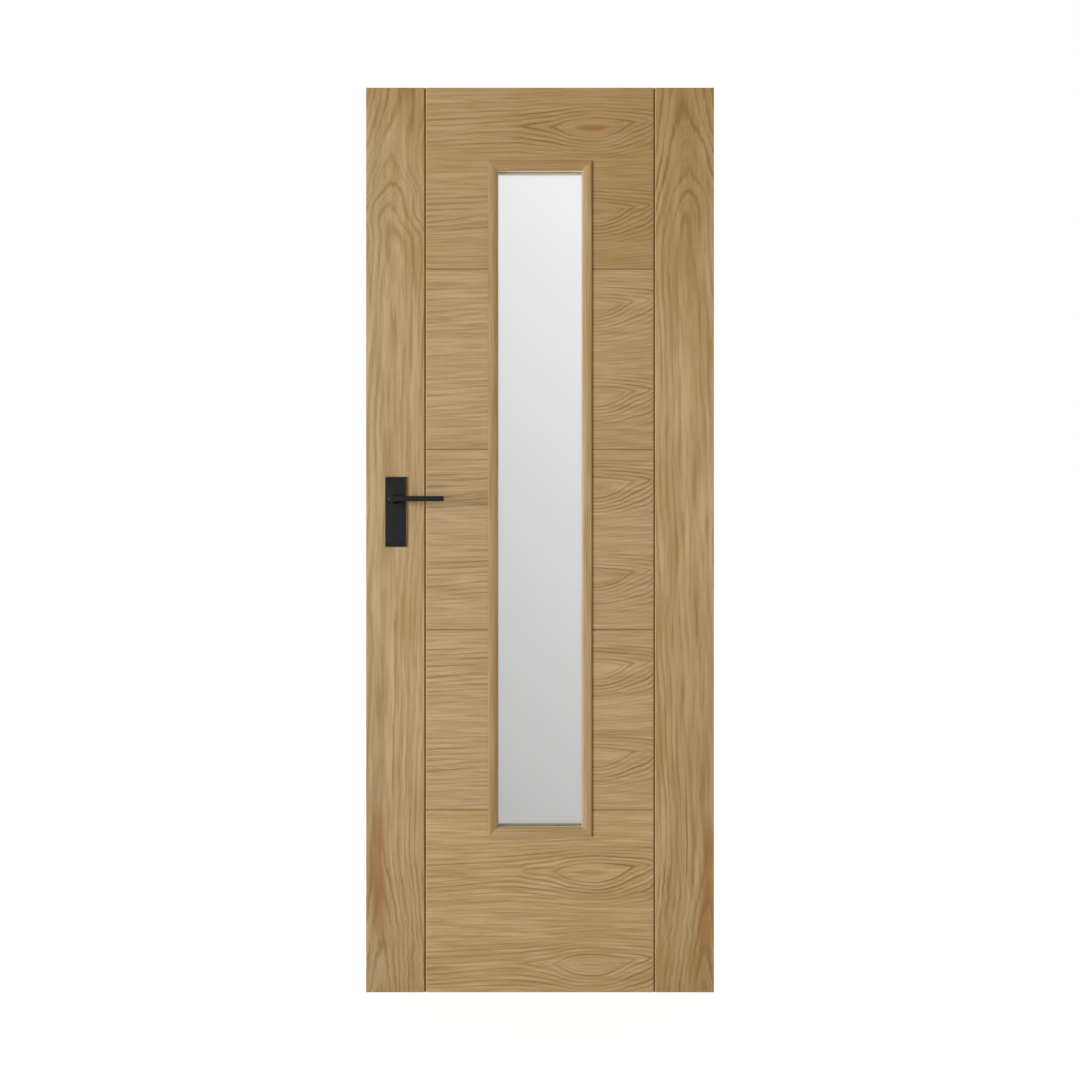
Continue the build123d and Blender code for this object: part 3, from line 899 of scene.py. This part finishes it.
class DOOR_OT_lever_screws(bpy.types.Operator):
    """Fit the four screws of each plate and the grub screw under each lever's neck"""

    bl_idname = "door.lever_screws"
    bl_label = "Fit Lever Screws"

    def execute(self, context):
        iron = context.scene.door_iron
        axis = sum(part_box("spindle"), Vector()) / 2
        for face, sign in FACES.items():
            low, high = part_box(f"{face}_plate")
            outer = max(abs(low.y), abs(high.y))
            outward = Vector((0.0, sign, 0.0))
            number = 0
            for x in (low.x + PLATE_SCREW_INSET, high.x - PLATE_SCREW_INSET):
                for z in (low.z + PLATE_SCREW_INSET_UP, high.z - PLATE_SCREW_INSET_UP):
                    number += 1
                    screw = cross_head_screw(f"{face}_plate_screw_{number}", iron.screw_radius, *PLATE_SCREW)
                    place = Vector((x, sign * (outer - SCREW_SUNK), z))
                    turn = PLATE_SCREW_TURN * number
                    set_piece(screw, place, outward, turn, "leaf", coated_iron())
            grub = hex_grub_screw(f"{face}_grub_screw", iron.grub_radius, GRUB_LENGTH)
            place = Vector((axis.x, sign * (HALF_THICKNESS + GRUB_STANDOFF), NECK_FOOT - GRUB_PROUD))
            set_piece(grub, place, Vector((0.0, 0.0, -1.0)), GRUB_TURN, "levers", coated_iron())
        return {"FINISHED"}


class DOOR_OT_latch(bpy.types.Operator):
    """Finish the latch in brushed steel and fit its two screws"""

    bl_idname = "door.latch"
    bl_label = "Finish Latch and Fit Its Screws"

    def execute(self, context):
        steel = context.scene.door_steel
        finish(brushed_steel(), "latch_case", "latch_forend", "latch_bolt")
        low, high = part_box("latch_forend")
        middle = (low.z + high.z) / 2
        for number, offset in enumerate((-FOREND_SCREW_SPACING / 2, FOREND_SCREW_SPACING / 2), 1):
            screw = cross_head_screw(f"forend_screw_{number}", steel.screw_radius, *FOREND_SCREW)
            place = Vector((low.x + SCREW_SUNK, 0.0, middle + offset))
            turn = FOREND_SCREW_TURN * number
            set_piece(screw, place, Vector((-1.0, 0.0, 0.0)), turn, "leaf", brushed_steel())
        return {"FINISHED"}


def circle(count, radius, first=0):
    """Points round the z axis. The first stands as many steps past the x axis as first says."""
    angles = ((number + first) * 2 * math.pi / count for number in range(count))
    return [Vector((math.cos(angle), math.sin(angle), 0.0)) * radius for angle in angles]


def drawn(points, share, height):
    """Points drawn in to a share of their size and moved along z."""
    return [point * share + Vector((0.0, 0.0, height)) for point in points]


def cross_head_screw(name, radius, length, recess):
    """A countersunk screw with a cross recess: its head lies flush at z = 0 and its shank points down z."""
    arm, waist = radius * 0.62, radius * 0.16
    flare = waist * 2.2
    recess_foot, recess_edge, flat_edge, neck, shank = 0.55, 1.06, 0.96, 0.55, 0.52
    edge_drop, rim_drop, neck_drop = radius * 0.02, radius * 0.05, radius * 0.5
    corners = []
    for quarter in range(4):
        turn = Matrix.Rotation(quarter * math.pi / 2, 3, "Z")
        for x, y in ((arm, -waist), (arm, 0.0), (arm, waist), (flare, waist), (waist, waist), (waist, flare)):
            corners.append(turn @ Vector((x, y, 0.0)))
    rim = circle(len(corners), radius, -1)
    return skinned_piece(name, [
        drawn(corners, recess_foot, -recess), drawn(corners, 1.0, -edge_drop),
        drawn(corners, recess_edge, 0.0), drawn(rim, flat_edge, 0.0), drawn(rim, 1.0, -rim_drop),
        drawn(rim, neck, -neck_drop), drawn(rim, shank, -length),
    ])


def hex_grub_screw(name, radius, length):
    """A grub screw with a hexagon socket: its end lies at z = 0 and it points down z."""
    side_steps, socket, socket_foot, flat_edge = 4, 0.58, 0.9, 0.9
    socket_depth, rim_drop = length * 0.6, radius * 0.1
    corners = circle(6, 1.0)
    hexagon = [
        first.lerp(second, step / side_steps) * radius * socket
        for first, second in zip(corners, corners[1:] + corners[:1]) for step in range(side_steps)
    ]
    rim = circle(len(hexagon), radius)
    return skinned_piece(name, [
        drawn(hexagon, socket_foot, -socket_depth), hexagon, drawn(rim, flat_edge, 0.0),
        drawn(rim, 1.0, -rim_drop), drawn(rim, 1.0, -length),
    ])


def skinned_piece(name, rings):
    """A new closed object in the scene, skinned from ring to ring and capped at both ends."""
    mesh = bmesh.new()
    rows = [[mesh.verts.new(place) for place in points] for points in rings]
    mesh.faces.new(rows[0])
    for inner, outer in zip(rows, rows[1:]):
        for number in range(len(inner)):
            after = (number + 1) % len(inner)
            mesh.faces.new((inner[number], outer[number], outer[after], inner[after]))
    mesh.faces.new(reversed(rows[-1]))
    bmesh.ops.recalc_face_normals(mesh, faces=mesh.faces)
    data = bpy.data.meshes.new(name)
    mesh.to_mesh(data)
    mesh.free()
    piece = bpy.data.objects.new(name, data)
    bpy.context.scene.collection.objects.link(piece)
    return piece


def set_piece(piece, place, outward, turn, body, material):
    """Stands a piece at a place with its z axis outward, and says which body and slot it belongs to."""
    stand = outward.to_track_quat("Z", "X").to_matrix().to_4x4()
    piece.data.transform(Matrix.Translation(place) @ stand @ Matrix.Rotation(turn, 4, "Z"))
    piece.data.materials.append(material)
    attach(piece, body)


def white_to_camera(wire, shading, share, strength=1.0):
    """Mixes plain white over a shading for the rays that look at the background."""
    path = wire.add("ShaderNodeLightPath")
    looking = wire.math("MAXIMUM", path.outputs["Is Camera Ray"], path.outputs["Is Glossy Ray"])
    looking = wire.math("MAXIMUM", looking, path.outputs["Is Transmission Ray"])
    white = wire.add("ShaderNodeEmission", {"Color": WHITE, "Strength": strength})
    factor = wire.times(looking, share)
    return wire.add("ShaderNodeMixShader", {0: factor, 1: shading, 2: white.outputs[0]}).outputs[0]


class DOOR_OT_studio(bpy.types.Operator):
    """Set the camera, the lamps, the pale floor and the even light all round"""

    bl_idname = "door.studio"
    bl_label = "Set Studio"

    def execute(self, context):
        studio = context.scene.door_studio
        middle = Vector((LEAF_CENTRE, 0.0, LEAF_HEIGHT / 2))
        self.place_camera(context, studio, middle)
        self.place_key(context, studio, middle)
        self.lay_floor(context)
        self.set_world(context, studio)
        context.scene.view_settings.view_transform = "Standard"
        return {"FINISHED"}

    def place_camera(self, context, studio, middle):
        camera = bpy.data.objects.new("camera", bpy.data.cameras.new("camera"))
        context.scene.collection.objects.link(camera)
        camera.location = middle - Vector((0.0, HALF_THICKNESS + studio.camera_distance, 0.0))
        camera.rotation_euler = (math.radians(90), 0.0, 0.0)
        camera.data.sensor_width = IMAGE_SENSOR
        camera.data.lens = IMAGE_SENSOR * studio.camera_distance / studio.frame_width
        context.scene.camera = camera

    def place_key(self, context, studio, middle):
        lamp = bpy.data.lights.new("key_strip", "AREA")
        lamp.shape = "RECTANGLE"
        lamp.size = KEY_WIDTH
        lamp.size_y = KEY_HEIGHT
        lamp.energy = studio.key_power
        lamp.color = studio.key_colour
        way = Vector((-math.cos(studio.key_azimuth), -math.sin(studio.key_azimuth), 0.0))
        key = bpy.data.objects.new("key_strip", lamp)
        context.scene.collection.objects.link(key)
        key.location = Vector((middle.x, middle.y, KEY_HEIGHT / 2 + KEY_LIFT)) + way * KEY_DISTANCE
        key.rotation_euler = way.to_track_quat("Z", "Y").to_euler()

    def lay_floor(self, context):
        half = FLOOR_SIZE / 2
        mesh = bpy.data.meshes.new("floor")
        corners = [(-half, -half, 0.0), (half, -half, 0.0), (half, half, 0.0), (-half, half, 0.0)]
        mesh.from_pydata(corners, [], [(0, 1, 2, 3)])
        floor = bpy.data.objects.new("floor", mesh)
        floor.location = (LEAF_CENTRE, 0.0, -FLOOR_DROP)
        context.scene.collection.objects.link(floor)
        made, wire, shader = new_material("pale_floor")
        wire.fill(shader, {"Base Color": FLOOR_GREY, "Roughness": 0.8})
        output = next(node for node in made.node_tree.nodes if node.type == "OUTPUT_MATERIAL")
        seen = white_to_camera(wire, shader.outputs[0], 1.0 - FLOOR_SHADE, FLOOR_WHITE)
        wire.fill(output, {"Surface": seen})
        mesh.materials.append(made)

    def set_world(self, context, studio):
        world = bpy.data.worlds.new("studio")
        world.use_nodes = True
        world.node_tree.nodes.clear()
        wire = Wiring(world.node_tree)
        way = wire.add("ShaderNodeTexCoord").outputs["Generated"]
        _, back, up = wire.add("ShaderNodeSeparateXYZ", {0: way}).outputs
        risen = wire.math("POWER", wire.math("MAXIMUM", up, 0.0), 2.0)
        front = wire.sum(wire.times(risen, studio.overhead), studio.fill)
        behind = wire.ramp(back, *BACKDROP_EDGE)
        colour = wire.mix(behind, (*studio.fill_colour, 1.0), WHITE)
        strength = wire.sum(
            wire.times(front, wire.math("SUBTRACT", 1.0, behind)), wire.times(behind, studio.backdrop)
        )
        even = wire.add("ShaderNodeBackground", {"Color": colour, "Strength": strength})
        seen = white_to_camera(wire, even.outputs[0], 1.0)
        wire.add("ShaderNodeOutputWorld", {"Surface": seen})
        context.scene.world = world


class DOOR_PT_panel(bpy.types.Panel):
    """Lists the door's settings and steps"""

    bl_idname = "DOOR_PT_panel"
    bl_label = "Glazed Oak Door"
    bl_space_type = "VIEW_3D"
    bl_region_type = "UI"
    bl_category = "Door"

    def draw(self, context):
        for name, settings in SETTINGS:
            box = self.layout.box()
            box.label(text=settings.__doc__)
            for setting in settings.__annotations__:
                box.prop(getattr(context.scene, name), setting)
        for operator in OPERATORS:
            self.layout.operator(operator.bl_idname)


SETTINGS = (
    ("door_oak", DoorOakSettings),
    ("door_iron", DoorIronSettings),
    ("door_glass", DoorGlassSettings),
    ("door_steel", DoorSteelSettings),
    ("door_studio", DoorStudioSettings),
)
OPERATORS = (
    DOOR_OT_stiles, DOOR_OT_boards, DOOR_OT_beads, DOOR_OT_glass,
    DOOR_OT_levers, DOOR_OT_lever_screws, DOOR_OT_latch, DOOR_OT_studio,
)


def register():
    for name, settings in SETTINGS:
        bpy.utils.register_class(settings)
        setattr(bpy.types.Scene, name, PointerProperty(type=settings))
    for made in (*OPERATORS, DOOR_PT_panel):
        bpy.utils.register_class(made)


def unregister():
    for made in reversed((*OPERATORS, DOOR_PT_panel)):
        bpy.utils.unregister_class(made)
    for name, settings in reversed(SETTINGS):
        delattr(bpy.types.Scene, name)
        bpy.utils.unregister_class(settings)


def main():
    """Finishes the door in order."""
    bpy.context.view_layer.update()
    register()
    bpy.ops.door.stiles()
    bpy.ops.door.boards()
    bpy.ops.door.beads()
    bpy.ops.door.glass()
    bpy.ops.door.levers()
    bpy.ops.door.lever_screws()
    bpy.ops.door.latch()
    bpy.ops.door.studio()


if __name__ == "__main__":
    main()
